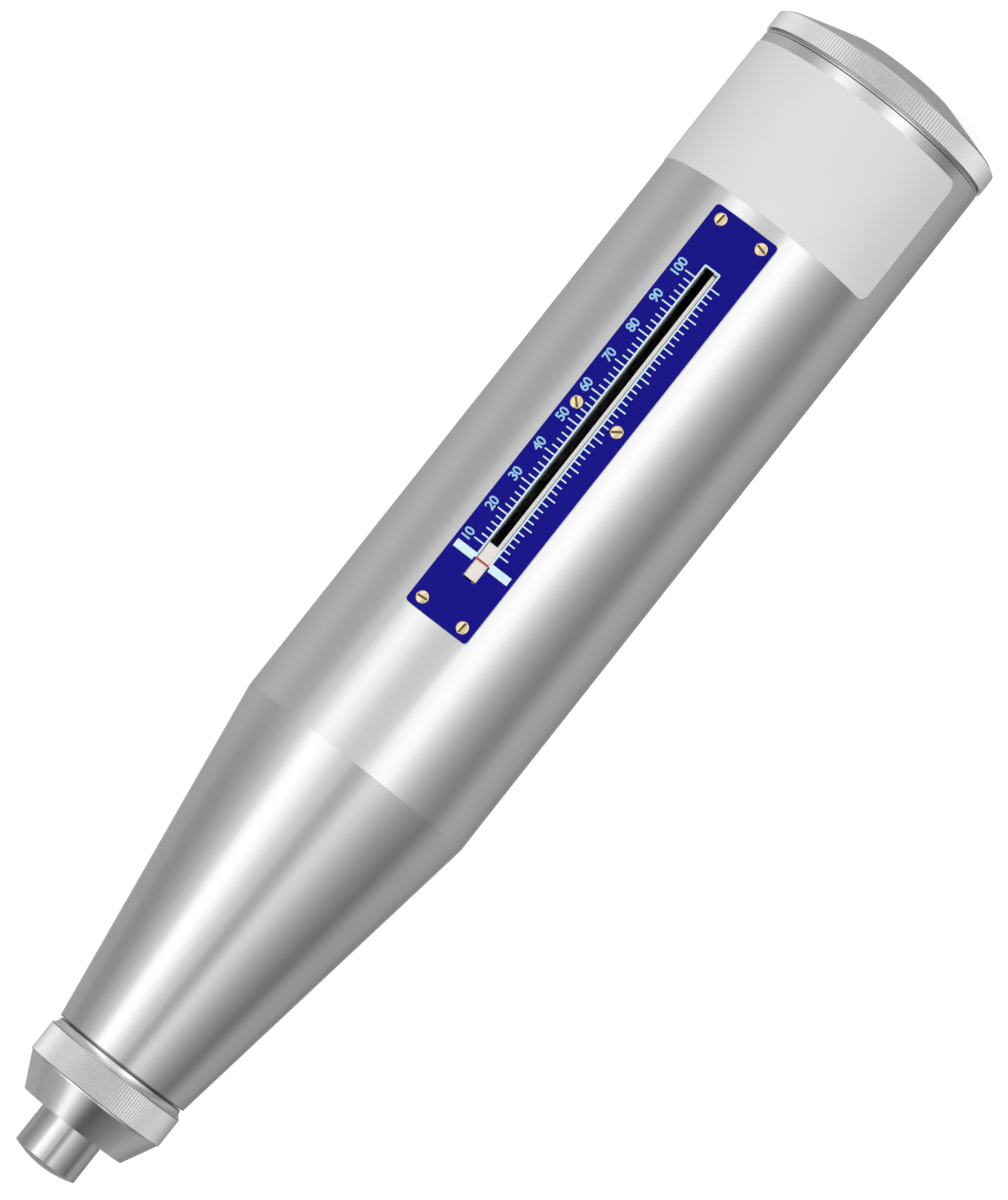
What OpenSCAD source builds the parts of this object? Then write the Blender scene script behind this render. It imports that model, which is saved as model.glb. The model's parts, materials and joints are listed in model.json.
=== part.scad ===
// Rebound test hammer for concrete, all sizes in millimetres.
// The rear face lies at z = 0 and the nose points up. The scale faces -Y and the button faces +Y.
// It is drawn locked for carrying: the plunger is in, and the hammer mass rests against it.

/* [Housing] */
// Outer diameter of the straight tube
housing_d = 54; // [53:0.5:58]
// Wall thickness of the tube and of the cone
housing_wall = 3; // [2.6:0.1:3.4]
// Length of the straight tube
tube_l = 167.9; // [164:0.2:180]
// Length of the cone
cone_l = 75.2; // [70:0.2:84]
// Diameter of the cone's small end
cone_end_d = 31.2; // [30.6:0.2:33]
// Bore of the front boss that holds the guide sleeve
boss_bore_d = 20; // [19.4:0.2:20.6]
// Distance from the boss's inner face to the cone's small end
boss_l = 14.3; // [12:0.1:17]
// Diameter of the threaded neck under the front cap
neck_d = 26; // [25.4:0.2:26.6]
// Length of the neck
neck_l = 8; // [6:0.5:9]

/* [Rear cover] */
// How far the cover's knurl stands out past the tube
cover_over = 0.35; // [0.2:0.05:2]
// Diameter of the flat in the middle of the rear face
rear_flat_d = 25; // [20:0.5:30]
// Height of the cone between that flat and the knurl
rim_h = 4.5; // [3:0.1:5.5]
// Height of the bevel at the rear end of the knurl
bevel_h = 0.6; // [0.4:0.1:1]
// Height of the cover's knurl
cover_grip_h = 4.1; // [3:0.1:6]
// Height of the groove in front of the knurl
cover_groove_h = 0.45; // [0.3:0.05:0.8]
// Height of the thin lip between groove and tube
cover_lip_h = 0.55; // [0.4:0.05:1]
// Thickness of the cover's end wall, where the large spring seats
cover_base_t = 11.7; // [9:0.1:12.5]
// Length of the cover's thread inside the tube
spigot_l = 6.2; // [4:0.1:8]
// Wall of the threaded spigot
spigot_wall = 3.4; // [2.4:0.1:3.8]
// Width of one knurl tooth on the cover
cover_pitch = 0.72; // [0.6:0.02:1.2]

/* [Front cap] */
// Diameter over the cap's knurl
cap_d = 32.2; // [31.6:0.1:36]
// Whole length of the cap
cap_l = 15.6; // [14.4:0.1:18]
// Height of the hollow ring at the cap's rear
cap_ring_h = 1.8; // [1:0.1:2.5]
// Height of the cap's knurl
cap_grip_h = 6.6; // [5:0.1:8]
// Diameter of the cap's flat front face
cap_front_d = 24.4; // [23.6:0.2:27]
// Thickness of the cap's front wall
cap_wall = 2.4; // [1.8:0.1:3]
// Width of one knurl tooth on the cap
cap_pitch = 0.62; // [0.5:0.02:1]

/* [Plunger] */
// Diameter of the plunger's shank, which runs in the guide sleeve
plunger_d = 15; // [14.8:0.1:15.6]
// Diameter of the thinner striking end, so that a burr on it can't jam in the sleeve
stub_d = 14.6; // [14:0.1:14.6]
// How far the locked plunger stands out of the cap
stub_l = 10.3; // [6:0.1:14]
// Radius of the plunger's rounded tip
tip_r = 21; // [15:1:40]
// Depth of the bore in the plunger's rear end
plunger_bore_l = 34; // [30:0.5:40]

/* [Hammer] */
// Gap between the hammer mass and the tube, room for the rider
rider_room = 5; // [4.8:0.1:6]
// Length of the thick part of the hammer mass
mass_l = 36; // [32:0.5:38]
// Travel of the hammer mass, scale reading 0 to 100
hammer_stroke = 75; // [70:0.5:76]
// Diameter of the flange that the pawl holds
catch_d = 18; // [17:0.2:18.4]
// Thickness of that flange
catch_t = 4; // [3:0.1:5]
// Length of the waist in front of the flange
waist_l = 9; // [8.2:0.1:10]
// Diameter of the waist
waist_d = 12; // [11:0.2:13]
// Length of the neck that the impact spring grips
grip_l = 6; // [4:0.1:7]
// Wire of the impact spring
impact_wire = 2; // [1.6:0.1:2.2]
// Pitch of the impact spring
impact_pitch = 2.72; // [2.7:0.02:3.4]

/* [Guide sleeve] */
// Diameter of the sleeve's flange
flange_d = 24; // [23:0.2:25]
// Thickness of the sleeve's flange
flange_t = 4; // [3:0.1:5]
// Diameter of the spigots that the impact spring grips
spring_seat_d = 17.8; // [17.2:0.1:18.2]
// Thickness of the two-part ring
ring_t = 1.6; // [1.2:0.1:2]
// Depth of the ring's groove
groove_depth = 1.1; // [0.8:0.05:1.2]
// Length of the sleeve in front of its groove
sleeve_lip = 1.1; // [0.8:0.1:1.5]
// Thickness of the felt washer
felt_t = 2.3; // [1.8:0.1:3]

/* [Carriage] */
// Thickness of the guide disk
disk_t = 5; // [4:0.1:6]
// Diameter of the disk's hub
hub_d = 14; // [12:0.2:15]
// Length of the hub in front of the disk
hub_l = 5; // [4:0.1:5.6]
// Diameter of the guide bar
bar_d = 8; // [7.4:0.1:8.4]
// Length of the guide bar inside the plunger
bar_overlap = 20; // [16:0.5:24]
// Diameter of the pin that holds the bar in the hub
bar_pin_d = 2; // [1.6:0.1:2.4]
// Wire of the large compression spring
return_wire = 1.8; // [1.4:0.1:2]
// Gap between the large compression spring and the tube
return_room = 4.6; // [4.2:0.1:6]
// Length of that spring while the carriage is locked
return_l = 19.3; // [18.5:0.1:24]
// Pitch of the large compression spring
return_pitch = 2.7; // [2.6:0.05:4]
// How far the hook passes the flange before it drops in
latch_over = 1.5; // [1:0.1:1.8]

/* [Pawl] */
// Thickness of the pawl
pawl_t = 4; // [3.4:0.1:4.6]
// Distance of the pawl's pivot from the edge of the flange
pivot_gap = 3.5; // [3.3:0.1:4]
// Height of the pivot above the disk
pivot_rise = 4; // [3.6:0.1:4.4]
// Height of the hook above the disk
hook_rise = 11.3; // [11:0.1:12]
// How far the hook reaches over the flange
hook_bite = 1.2; // [1:0.1:1.4]
// Width of the pawl's arm
arm_w = 3.6; // [3.2:0.1:3.8]
// Thickness of the pawl's tail
tail_t = 2.5; // [2:0.1:3]
// Gap between the tail and the disk, room for the pawl to swing
tail_drop = 3.6; // [3.5:0.1:4]
// Diameter of the pawl's pin
pawl_pin_d = 2.5; // [2:0.1:2.6]
// Reach of the pawl's ear over its spring
ear_l = 7; // [6:0.1:8]

/* [Trip screw] */
// Diameter of the trip screw
trip_d = 5; // [4:0.2:6]
// Width over the flats of its lock nut
nut_af = 8; // [7:0.5:10]
// Height of the lock nut
nut_h = 3; // [2.4:0.1:4]
// Height of the boss that takes the trip screw
trip_boss_h = 4; // [3:0.5:5]

/* [Button] */
// Diameter of the push button
button_d = 8; // [7:0.2:9]
// Diameter of the lock pin
lock_pin_d = 3; // [2.4:0.1:3.4]
// How far the lock pin reaches in front of the disk's rim
lock_reach = 2.3; // [1.8:0.1:2.8]
// Outer diameter of the button's bush
bush_d = 12; // [11:0.2:13]
// How far the bush stands out of the tube
bush_proud = 2.5; // [2:0.1:3.5]
// How far the locked button stands out of its bush
button_proud = 0.6; // [0.4:0.1:1.5]

/* [Scale] */
// Width of the scale plate
plate_w = 15.4; // [13:0.1:16]
// Length of the scale plate
plate_l = 100.3; // [98:0.1:104]
// Thickness of the scale plate
plate_t = 1; // [0.8:0.05:1.2]
// Radius of the plate's corners
plate_corner = 0.9; // [0.5:0.1:1.5]
// Width of the slot
slot_w = 3.2; // [2.8:0.1:3.6]
// Length of the slot
slot_l = 78; // [76:0.5:79]
// Distance from the slot's front end to the plate's front end
slot_margin = 10.6; // [9:0.1:12]
// Length of the rider's index
index_l = 8.2; // [6:0.1:9]
// Width of the index
index_w = 3; // [2:0.1:3.1]
// Width of the rider block
rider_w = 5.6; // [4.6:0.1:5.8]
// Diameter of the guide rod
rod_d = 2.4; // [2:0.1:2.6]
// Distance of the guide rod's axis from the inside of the tube
rod_gap = 2.8; // [2.4:0.1:3]
// Head diameter of the plate's screws
screw_head_d = 2.7; // [2:0.1:3]
// Shank diameter of the plate's screws
screw_d = 1.4; // [1:0.1:1.6]

/* [Label] */
// Thickness of the blank label
label_t = 0.2; // [0.1:0.05:0.3]
// Distance from the tube's rear edge to the label
label_rise = 2.5; // [1:0.1:6]
// Distance from the label to the scale plate
label_gap = 3.2; // [1:0.1:6]
// Angle of the label's left edge, from the scale's side
label_from = -65.6; // [-90:1:-30]
// Angle of the label's right edge, from the scale's side
label_to = 105; // [60:1:150]
// Corner radius of the label
label_corner = 2.3; // [1:0.1:4]

/* [Hidden] */
$fn = 96;

// Clearances, each on the radius or on one side
run_gap = 0.05;
press_gap = 0.02;
face_gap = 0.1;
free_gap = 0.3;
spring_gap = 0.1;

// Radii
housing_r = housing_d / 2;
inner_r = housing_r - housing_wall;
cone_end_r = cone_end_d / 2;
neck_r = neck_d / 2;
boss_bore_r = boss_bore_d / 2;
plunger_r = plunger_d / 2;
stub_r = stub_d / 2;
bar_r = bar_d / 2;
mass_r = inner_r - rider_room;
catch_r = catch_d / 2;
spring_seat_r = spring_seat_d / 2;
disk_r = inner_r - 2 * run_gap;
rod_y = inner_r - rod_gap;

// Heights along the housing, from the rear
grip_z = rim_h + bevel_h;
groove_z = grip_z + cover_grip_h;
lip_z = groove_z + cover_groove_h;
tube_z = lip_z + cover_lip_h;
cone_z = tube_z + tube_l;
neck_z = cone_z + cone_l;
neck_end_z = neck_z + neck_l;
boss_z = neck_z - boss_l;

// The cone's slope, and its inner face one wall further in
cone_slope = (housing_r - cone_end_r) / cone_l;
cone_wall = housing_wall * sqrt(1 + cone_slope * cone_slope);
function cone_r(z) = housing_r - cone_slope * (z - cone_z);
inner_cone_z = cone_z - (cone_wall - housing_wall) / cone_slope;

// The carriage is placed from the cover forwards, on its compressed spring
disk_z = cover_base_t + return_l;
disk_front_z = disk_z + disk_t;
hook_z = disk_front_z + hook_rise;

// The mass is placed so that the hook meets its flange at the full stroke
catch_front_z = hook_z + hammer_stroke - free_gap;
catch_rear_z = catch_front_z - catch_t;
mass_back_z = catch_front_z + waist_l;
mass_shoulder_z = mass_back_z + mass_l;
mass_front_z = mass_shoulder_z + grip_l;
plunger_z = mass_front_z + face_gap;
hub_front_z = min(disk_front_z + hub_l, catch_rear_z - hammer_stroke - latch_over - 0.4);
bar_pin_z = (disk_front_z + hub_front_z) / 2;

// The relaxed impact spring fills the length from the mass to the sleeve's flange
flange_z = boss_z - flange_t;
impact_l = flange_z - mass_shoulder_z;

// Pawl and trip
pivot_x = catch_r + pivot_gap;
pivot_z = disk_front_z + pivot_rise;
tail_top_z = disk_z - tail_drop;
tail_z = tail_top_z - tail_t;
trip_tip_z = tail_z - 0.5;
hook_x = catch_r - hook_bite;
arm_in_x = pivot_x - arm_w / 2 - 0.1;
arm_out_x = arm_in_x + arm_w;
ear_x = pivot_x + ear_l;
lug_gap = 0.2;
lug_t = 2.2;
lug_r = 2.6;
pin_half = pawl_t / 2 + lug_gap + lug_t;

// Front end
ring_z = neck_end_z + face_gap;
ring_front_z = ring_z + ring_t + face_gap;
sleeve_front_z = ring_front_z + sleeve_lip;
sleeve_r = boss_bore_r - 2 * run_gap;
groove_r = sleeve_r - groove_depth;
cap_z = neck_z + free_gap;
cap_front_z = cap_z + cap_l;
cap_r = cap_d / 2;
felt_pocket_r = neck_r - 1.4;
plunger_tip_z = cap_front_z + stub_l;
cap_bore_r = plunger_r + 0.2;

// Scale, placed so that the index stands at its zero when the mass has struck
index_z = mass_back_z + 0.4;
slot_top_z = index_z + index_l / 2 + 0.4;
slot_z = slot_top_z - slot_l;
plate_top_z = slot_top_z + slot_margin;
plate_z = plate_top_z - plate_l;
flat_y = housing_r - plate_t - face_gap;
rod_z = plate_z + 0.5;
rod_top_z = plate_top_z + 2.2;
rod_boss_l = 4;
rod_boss_w = 5;
rod_r = rod_d / 2;
screw_x = plate_w / 2 - 2.6;
screw_rows = [plate_z + 2.4, plate_z + plate_l / 2 - 1.5, plate_top_z - 2.4];
screw_head_h = 0.45;
screw_edge_h = 0.12;
screw_depth = 1.9;

// Button on the far side, with its pin just in front of the locked disk
lock_pin_r = lock_pin_d / 2;
button_z = disk_front_z + 0.2 + lock_pin_r;
bush_in_y = inner_r + face_gap;
bush_out_y = housing_r + bush_proud;
bush_floor = 1;
button_in_y = bush_in_y + bush_floor + 0.9;
button_out_y = bush_out_y + button_proud;
button_r = button_d / 2;

// A round bar along +Y from y0 to y1
module bar_y(r, y0, y1) {
    translate([0, y1, 0]) rotate([90, 0, 0]) cylinder(r = r, h = y1 - y0);
}

// A flat block with rounded corners, centred in x, standing on z = 0, from y0 to y1
module block_y(w, l, r, y0, y1) {
    translate([-w / 2 + r, y0, 0]) cube([w - 2 * r, y1 - y0, l]);
    translate([-w / 2, y0, r]) cube([w, y1 - y0, l - 2 * r]);
    for (x = [-w / 2 + r, w / 2 - r], z = [r, l - r]) translate([x, 0, z]) bar_y(r, y0, y1);
}

// A ring of pointed teeth, for a straight knurl
module knurl(r, pitch, h) {
    teeth = round(2 * PI * r / pitch);
    depth = pitch / 2;
    linear_extrude(h) polygon([
        for (i = [0 : 2 * teeth - 1])
            let (a = 180 * i / teeth, q = i % 2 == 0 ? r : r - depth)
            [q * cos(a), q * sin(a)]
    ]);
}

// A coil of round wire standing on z = 0, one unbroken tube with flat caps at both ends
module coil(mean_r, wire, length, pitch) {
    sides = 6;
    per_turn = 16;
    wire_r = wire / 2;
    rise = length - wire - 2 * spring_gap;
    turns = max(1, floor(rise / pitch));
    steps = turns * per_turn;
    points = [
        for (i = [0 : steps], j = [0 : sides - 1])
            let (a = 360 * i / per_turn, b = 360 * j / sides, q = mean_r + wire_r * cos(b))
            [q * cos(a), q * sin(a),
             wire_r + spring_gap + rise * i / steps + wire_r * sin(b)]
    ];
    walls = [
        for (i = [0 : steps - 1], j = [0 : sides - 1])
            let (k = (j + 1) % sides, p = i * sides, n = p + sides)
            each [[p + j, p + k, n + j], [p + k, n + k, n + j]]
    ];
    last = steps * sides;
    caps = [for (j = [1 : sides - 2]) each [[0, j + 1, j], [last, last + j, last + j + 1]]];
    polyhedron(points = points, faces = concat(walls, caps));
}

// Turned body: straight tube, cone, boss and threaded neck
module housing_body() {
    edge = 0.2;
    neck_edge = 0.6;
    rotate_extrude() polygon([
        [inner_r, tube_z], [housing_r - edge, tube_z], [housing_r, tube_z + edge],
        [housing_r, cone_z], [cone_end_r, neck_z], [neck_r, neck_z],
        [neck_r, neck_end_z - neck_edge], [neck_r - neck_edge, neck_end_z],
        [boss_bore_r, neck_end_z], [boss_bore_r, boss_z],
        [cone_r(boss_z) - cone_wall, boss_z], [inner_r, inner_cone_z]
    ]);
}

// Inner bosses that carry the ends of the guide rod
module rod_boss(z) {
    translate([-rod_boss_w / 2, -inner_r - 0.6, z])
        cube([rod_boss_w, inner_r + 0.6 - rod_y + rod_r + 0.4, rod_boss_l]);
}

// Places its children at each of the plate's six screws, with +Z pointing out of the plate, and
// each turned to where its screw came tight
module at_screws() {
    for (side = [-1, 1], row = [0 : 2])
        translate([side * screw_x, -flat_y, screw_rows[row]])
            rotate([90, 0, 0]) rotate([0, 0, 35 + 50 * (side + row)]) children();
}

module housing() {
    color("silver") difference() {
        union() {
            housing_body();
            rod_boss(rod_z);
            rod_boss(rod_top_z - rod_boss_l);
        }
        translate([0, 0, plate_z - face_gap])
            block_y(plate_w + 2 * face_gap, plate_l + 2 * face_gap, plate_corner + face_gap,
                    -housing_r - 1, -flat_y);
        translate([-slot_w / 2, -housing_r, slot_z])
            cube([slot_w, housing_r - inner_r + 1.5, slot_l]);
        translate([0, -rod_y, rod_z + 0.6])
            cylinder(r = rod_r + press_gap, h = rod_top_z - rod_z - 1.2);
        translate([0, 0, button_z]) bar_y(bush_d / 2 + press_gap, inner_r - 2, housing_r + 1);
        at_screws() translate([0, 0, -screw_depth])
            cylinder(r = screw_d / 2 + press_gap, h = screw_depth + 1);
    }
}

// Screwed cover at the rear, with the seat of the large spring and the trip screw's boss inside
module rear_cover() {
    cover_r = housing_r + cover_over;
    core_r = cover_r - cover_pitch / 2 - 0.1;
    bevel_r = cover_r - bevel_h - 0.35;
    flat_r = rear_flat_d / 2;
    lip_r = housing_r - 0.15;
    groove_bottom_r = housing_r - 0.8;
    spigot_r = inner_r - run_gap;
    color("gainsboro") difference() {
        union() {
            rotate_extrude() polygon([
                [0, 0], [flat_r, 0], [flat_r + 1, 0.12], [bevel_r - 0.3, rim_h - 0.2],
                [bevel_r, rim_h], [core_r, grip_z - 0.15], [core_r, groove_z],
                [groove_bottom_r, groove_z], [groove_bottom_r, lip_z], [lip_r, lip_z],
                [lip_r, tube_z - 0.15], [lip_r - 0.15, tube_z], [spigot_r, tube_z],
                [spigot_r, tube_z + spigot_l - 0.5], [spigot_r - 0.5, tube_z + spigot_l],
                [spigot_r - spigot_wall, tube_z + spigot_l],
                [spigot_r - spigot_wall, cover_base_t], [trip_d + 1, cover_base_t],
                [trip_d + 1, cover_base_t + trip_boss_h], [0, cover_base_t + trip_boss_h]
            ]);
            intersection() {
                translate([0, 0, rim_h])
                    knurl(cover_r, cover_pitch, groove_z - rim_h);
                rotate_extrude() polygon([
                    [0, rim_h], [bevel_r, rim_h], [cover_r + 0.1, grip_z + 0.1],
                    [cover_r + 0.1, groove_z], [0, groove_z]
                ]);
            }
        }
        translate([0, 0, rim_h])
            cylinder(r = trip_d / 2 + press_gap, h = cover_base_t + trip_boss_h);
    }
}

// Adjustable stop that lifts the pawl's tail at the end of the stroke
module trip_screw() {
    slot = 0.8;
    foot_z = cover_base_t - 4;
    color("dimgray") difference() {
        translate([0, 0, foot_z]) cylinder(d = trip_d, h = trip_tip_z - foot_z);
        translate([-trip_d, -slot / 2, trip_tip_z - slot]) cube([2 * trip_d, slot, 2 * slot]);
    }
}

module lock_nut() {
    color("darkgray") translate([0, 0, cover_base_t + trip_boss_h]) difference() {
        cylinder(d = nut_af / cos(30), h = nut_h, $fn = 6);
        translate([0, 0, -1]) cylinder(r = trip_d / 2 + press_gap, h = nut_h + 2);
    }
}

// Large spring that drives the plunger out when the button frees it
module compression_spring() {
    color("slategray") translate([0, 0, cover_base_t])
        coil(inner_r - return_room - return_wire / 2, return_wire, return_l, return_pitch);
}

// Disk that runs in the tube and carries the pawl between two lugs
module guide_disk() {
    edge = 0.5;
    notch_w = max(rider_w, rod_boss_w) + 4 * spring_gap + 0.2;
    notch_y = rod_y - rod_r - 0.8;
    window_w = pawl_t + 2 * lug_gap + 0.2;
    window_in = pivot_x - 4.3;
    lug_in = pivot_x - lug_r + 0.1;
    color("lightgray") difference() {
        union() {
            rotate_extrude() polygon([
                [0, disk_z], [disk_r - edge, disk_z], [disk_r, disk_z + edge],
                [disk_r, disk_front_z - edge], [disk_r - edge, disk_front_z],
                [hub_d / 2, disk_front_z], [hub_d / 2, hub_front_z], [0, hub_front_z]
            ]);
            for (side = [-1, 1])
                translate([0, side * (pawl_t + lug_t + 2 * lug_gap) / 2, 0]) {
                    translate([lug_in, -lug_t / 2, disk_front_z - 0.5])
                        cube([2 * (pivot_x - lug_in), lug_t, pivot_rise + 0.5]);
                    translate([pivot_x, 0, pivot_z])
                        bar_y(pivot_x - lug_in, -lug_t / 2, lug_t / 2);
                }
        }
        translate([0, 0, disk_z - 1])
            cylinder(r = bar_r + press_gap, h = hub_front_z - disk_z + 2);
        translate([-notch_w / 2, -disk_r - 1, disk_z - 1])
            cube([notch_w, disk_r + 1 - notch_y, disk_t + 2]);
        translate([window_in, -window_w / 2, disk_z - 1])
            cube([arm_out_x + face_gap - window_in, window_w, disk_t + 2]);
        translate([pivot_x, 0, pivot_z])
            bar_y(pawl_pin_d / 2 + press_gap, -pin_half - 1, pin_half + 1);
        translate([0, 0, bar_pin_z])
            bar_y(bar_pin_d / 2 + press_gap, -hub_d, hub_d);
    }
}

module guide_bar() {
    edge = 0.5;
    top_z = plunger_z + bar_overlap;
    color("lightsteelblue") difference() {
        rotate_extrude() polygon([
            [0, disk_z], [bar_r - edge, disk_z], [bar_r, disk_z + edge],
            [bar_r, top_z - edge], [bar_r - edge, top_z], [0, top_z]
        ]);
        translate([0, 0, bar_pin_z]) bar_y(bar_pin_d / 2 + press_gap, -hub_d, hub_d);
    }
}

module bar_pin() {
    color("dimgray") translate([0, 0, bar_pin_z])
        bar_y(bar_pin_d / 2, -hub_d / 2 + face_gap, hub_d / 2 - face_gap);
}

// Rocking catch: hook on top, tail over the trip screw, and an ear for its spring
module pawl() {
    hook_h = 3;
    tail_end_x = -1.5;
    boss_r = arm_w / 2 + 0.9;
    color("darkslategray") difference() {
        union() {
            translate([0, pawl_t / 2, 0]) rotate([90, 0, 0]) linear_extrude(pawl_t) polygon([
                [hook_x, hook_z], [hook_x, hook_z + 0.6], [arm_in_x, hook_z + hook_h],
                [arm_out_x, hook_z + hook_h], [arm_out_x, pivot_z + 1],
                [ear_x, pivot_z + 1], [ear_x, pivot_z - 1], [arm_out_x, pivot_z - 1],
                [arm_out_x, tail_z + 1], [arm_out_x - 1, tail_z], [tail_end_x, tail_z],
                [tail_end_x, tail_top_z], [arm_in_x, tail_top_z], [arm_in_x, hook_z]
            ]);
            translate([pivot_x, 0, pivot_z]) bar_y(boss_r, -pawl_t / 2, pawl_t / 2);
        }
        translate([pivot_x, 0, pivot_z]) bar_y(pawl_pin_d / 2 + run_gap, -pawl_t, pawl_t);
    }
}

module pawl_pin() {
    color("dimgray") translate([pivot_x, 0, pivot_z]) bar_y(pawl_pin_d / 2, -pin_half, pin_half);
}

// Small spring that pushes the ear up, so that the hook closes
module pawl_spring() {
    wire = 0.5;
    color("slategray") translate([ear_x - 2, 0, disk_front_z])
        coil(1.2, wire, pivot_rise - 1, 2 * wire);
}

// Steel mass with the catch flange at its rear and the spring's seat at its front
module hammer_mass() {
    edge = 1;
    catch_edge = 0.8;
    bore_r = bar_r + run_gap;
    color("gray") rotate_extrude() polygon([
        [bore_r, catch_rear_z], [catch_r - catch_edge, catch_rear_z],
        [catch_r, catch_rear_z + catch_edge], [catch_r, catch_front_z],
        [waist_d / 2, catch_front_z], [waist_d / 2, mass_back_z], [mass_r - edge, mass_back_z],
        [mass_r, mass_back_z + edge], [mass_r, mass_shoulder_z - edge],
        [mass_r - edge, mass_shoulder_z], [spring_seat_r, mass_shoulder_z],
        [spring_seat_r, mass_front_z - 0.5], [spring_seat_r - 0.5, mass_front_z],
        [bore_r, mass_front_z]
    ]);
}

// Spring between mass and sleeve, which the loading stroke stretches
module impact_spring() {
    chord_gap = 0.02 * spring_seat_r;
    mean_r = spring_seat_r + spring_gap + chord_gap + impact_wire / 2;
    color("slategray") translate([0, 0, mass_shoulder_z])
        coil(mean_r, impact_wire, impact_l, impact_pitch);
}

// Sleeve that guides the plunger and holds the front end of the impact spring
module guide_sleeve() {
    bore_r = plunger_r + run_gap;
    color("goldenrod") rotate_extrude() polygon([
        [bore_r, flange_z - grip_l], [spring_seat_r - 0.5, flange_z - grip_l],
        [spring_seat_r, flange_z - grip_l + 0.5], [spring_seat_r, flange_z],
        [flange_d / 2, flange_z], [flange_d / 2, boss_z], [sleeve_r, boss_z],
        [sleeve_r, neck_end_z], [groove_r, neck_end_z], [groove_r, ring_front_z],
        [sleeve_r, ring_front_z], [sleeve_r, sleeve_front_z], [bore_r, sleeve_front_z]
    ]);
}

// Two half rings that lock the sleeve against the neck
module two_part_ring() {
    ring_r = neck_r - 0.75;
    cut = 0.3;
    color("darkkhaki") translate([0, 0, ring_z]) difference() {
        cylinder(r = ring_r, h = ring_t);
        translate([0, 0, -1]) cylinder(r = groove_r + face_gap, h = ring_t + 2);
        translate([-ring_r - 1, -cut / 2, -1]) cube([2 * ring_r + 2, cut, ring_t + 2]);
    }
}

// Screwed nose cap: hollow ring, fine knurl and sloping front
module front_cap() {
    ring_rear_r = cap_r - 0.9;
    cap_grip_z = cap_z + cap_ring_h;
    slope_z = cap_grip_z + cap_grip_h;
    core_r = cap_r - cap_pitch / 2 - 0.1;
    shoulder_r = cap_r - 0.35;
    turn_r = 1.2;
    slope_turn = atan((shoulder_r - cap_front_d / 2) / (cap_front_z - slope_z));
    sag = 0.22;
    color("gainsboro") difference() {
        union() {
            rotate_extrude() polygon(concat(
                [[0, cap_z], [ring_rear_r - 0.2, cap_z]],
                [for (i = [0 : 8]) let (t = i / 8)
                    [ring_rear_r + (cap_r - 0.1 - ring_rear_r) * t - sag * sin(180 * t),
                     cap_z + 0.2 + (cap_ring_h - 0.4) * t]],
                [[cap_r - 0.1, cap_grip_z], [core_r, cap_grip_z], [core_r, slope_z]],
                [for (i = [0 : 5]) let (a = slope_turn * i / 5)
                    [shoulder_r - turn_r * (1 - cos(a)), slope_z + turn_r * sin(a)]],
                [[cap_front_d / 2 + 0.15, cap_front_z - 0.25], [cap_front_d / 2, cap_front_z],
                 [0, cap_front_z]]
            ));
            translate([0, 0, cap_grip_z]) knurl(cap_r, cap_pitch, cap_grip_h);
        }
        translate([0, 0, cap_z - 1])
            cylinder(r = neck_r + face_gap, h = ring_front_z - cap_z + 1);
        translate([0, 0, cap_z]) cylinder(r = felt_pocket_r, h = cap_l - cap_wall);
        translate([0, 0, cap_z]) cylinder(r = cap_bore_r, h = cap_l + 1);
    }
}

module felt_washer() {
    room = cap_front_z - cap_wall - sleeve_front_z;
    color("ivory") translate([0, 0, cap_front_z - cap_wall - min(felt_t, room)]) difference() {
        cylinder(r = felt_pocket_r - 0.2, h = min(felt_t, room));
        translate([0, 0, -1]) cylinder(r = plunger_r + 2 * run_gap, h = felt_t + 2);
    }
}

// Impact plunger: shank, undercut, striking end with rounded tip, and a bore for the guide bar
module plunger() {
    dome_z = plunger_tip_z - tip_r;
    stub_z = cap_front_z + face_gap;
    undercut_z = stub_z - 0.5;
    undercut_r = stub_r - 0.2;
    color("whitesmoke") difference() {
        intersection() {
            rotate_extrude() polygon([
                [0, plunger_z], [plunger_r - 0.5, plunger_z], [plunger_r, plunger_z + 0.5],
                [plunger_r, undercut_z], [undercut_r, undercut_z], [undercut_r, stub_z],
                [stub_r, stub_z], [stub_r, plunger_tip_z], [0, plunger_tip_z]
            ]);
            union() {
                translate([0, 0, dome_z]) sphere(r = tip_r);
                translate([0, 0, plunger_z - 1])
                    cylinder(r = plunger_r + 1, h = dome_z + 2 - plunger_z);
            }
        }
        translate([0, 0, plunger_z - 1])
            cylinder(r = bar_r + run_gap, h = plunger_bore_l + 1);
    }
}

// Buffer between the guide bar and the end of the plunger's bore
module retaining_spring() {
    wire = 1;
    room = plunger_bore_l - bar_overlap;
    color("slategray") translate([0, 0, plunger_z + bar_overlap])
        coil(bar_r - wire / 2 - 0.5, wire, room, 2.2);
}

// Button head with its blind hole for the lock pin
module push_button() {
    edge = 0.6;
    color("gray") translate([0, 0, button_z]) rotate([-90, 0, 0]) difference() {
        rotate_extrude() polygon([
            [0, button_in_y], [button_r - 0.3, button_in_y], [button_r, button_in_y + 0.3],
            [button_r, button_out_y - edge], [button_r - edge, button_out_y],
            [0, button_out_y]
        ]);
        translate([0, 0, button_in_y - 1]) cylinder(r = lock_pin_r + press_gap, h = 3);
    }
}

module lock_pin() {
    color("dimgray") translate([0, 0, button_z])
        bar_y(lock_pin_r, disk_r - lock_reach, button_in_y + 2);
}

// Bush that is pressed into the tube and guides the button
module button_bush() {
    bush_r = bush_d / 2;
    color("darkgray") translate([0, 0, button_z]) rotate([-90, 0, 0]) rotate_extrude() polygon([
        [lock_pin_r + run_gap, bush_in_y], [bush_r, bush_in_y], [bush_r, bush_out_y - 0.4],
        [bush_r - 0.4, bush_out_y], [button_r + run_gap, bush_out_y],
        [button_r + run_gap, bush_in_y + bush_floor],
        [lock_pin_r + run_gap, bush_in_y + bush_floor]
    ]);
}

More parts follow.
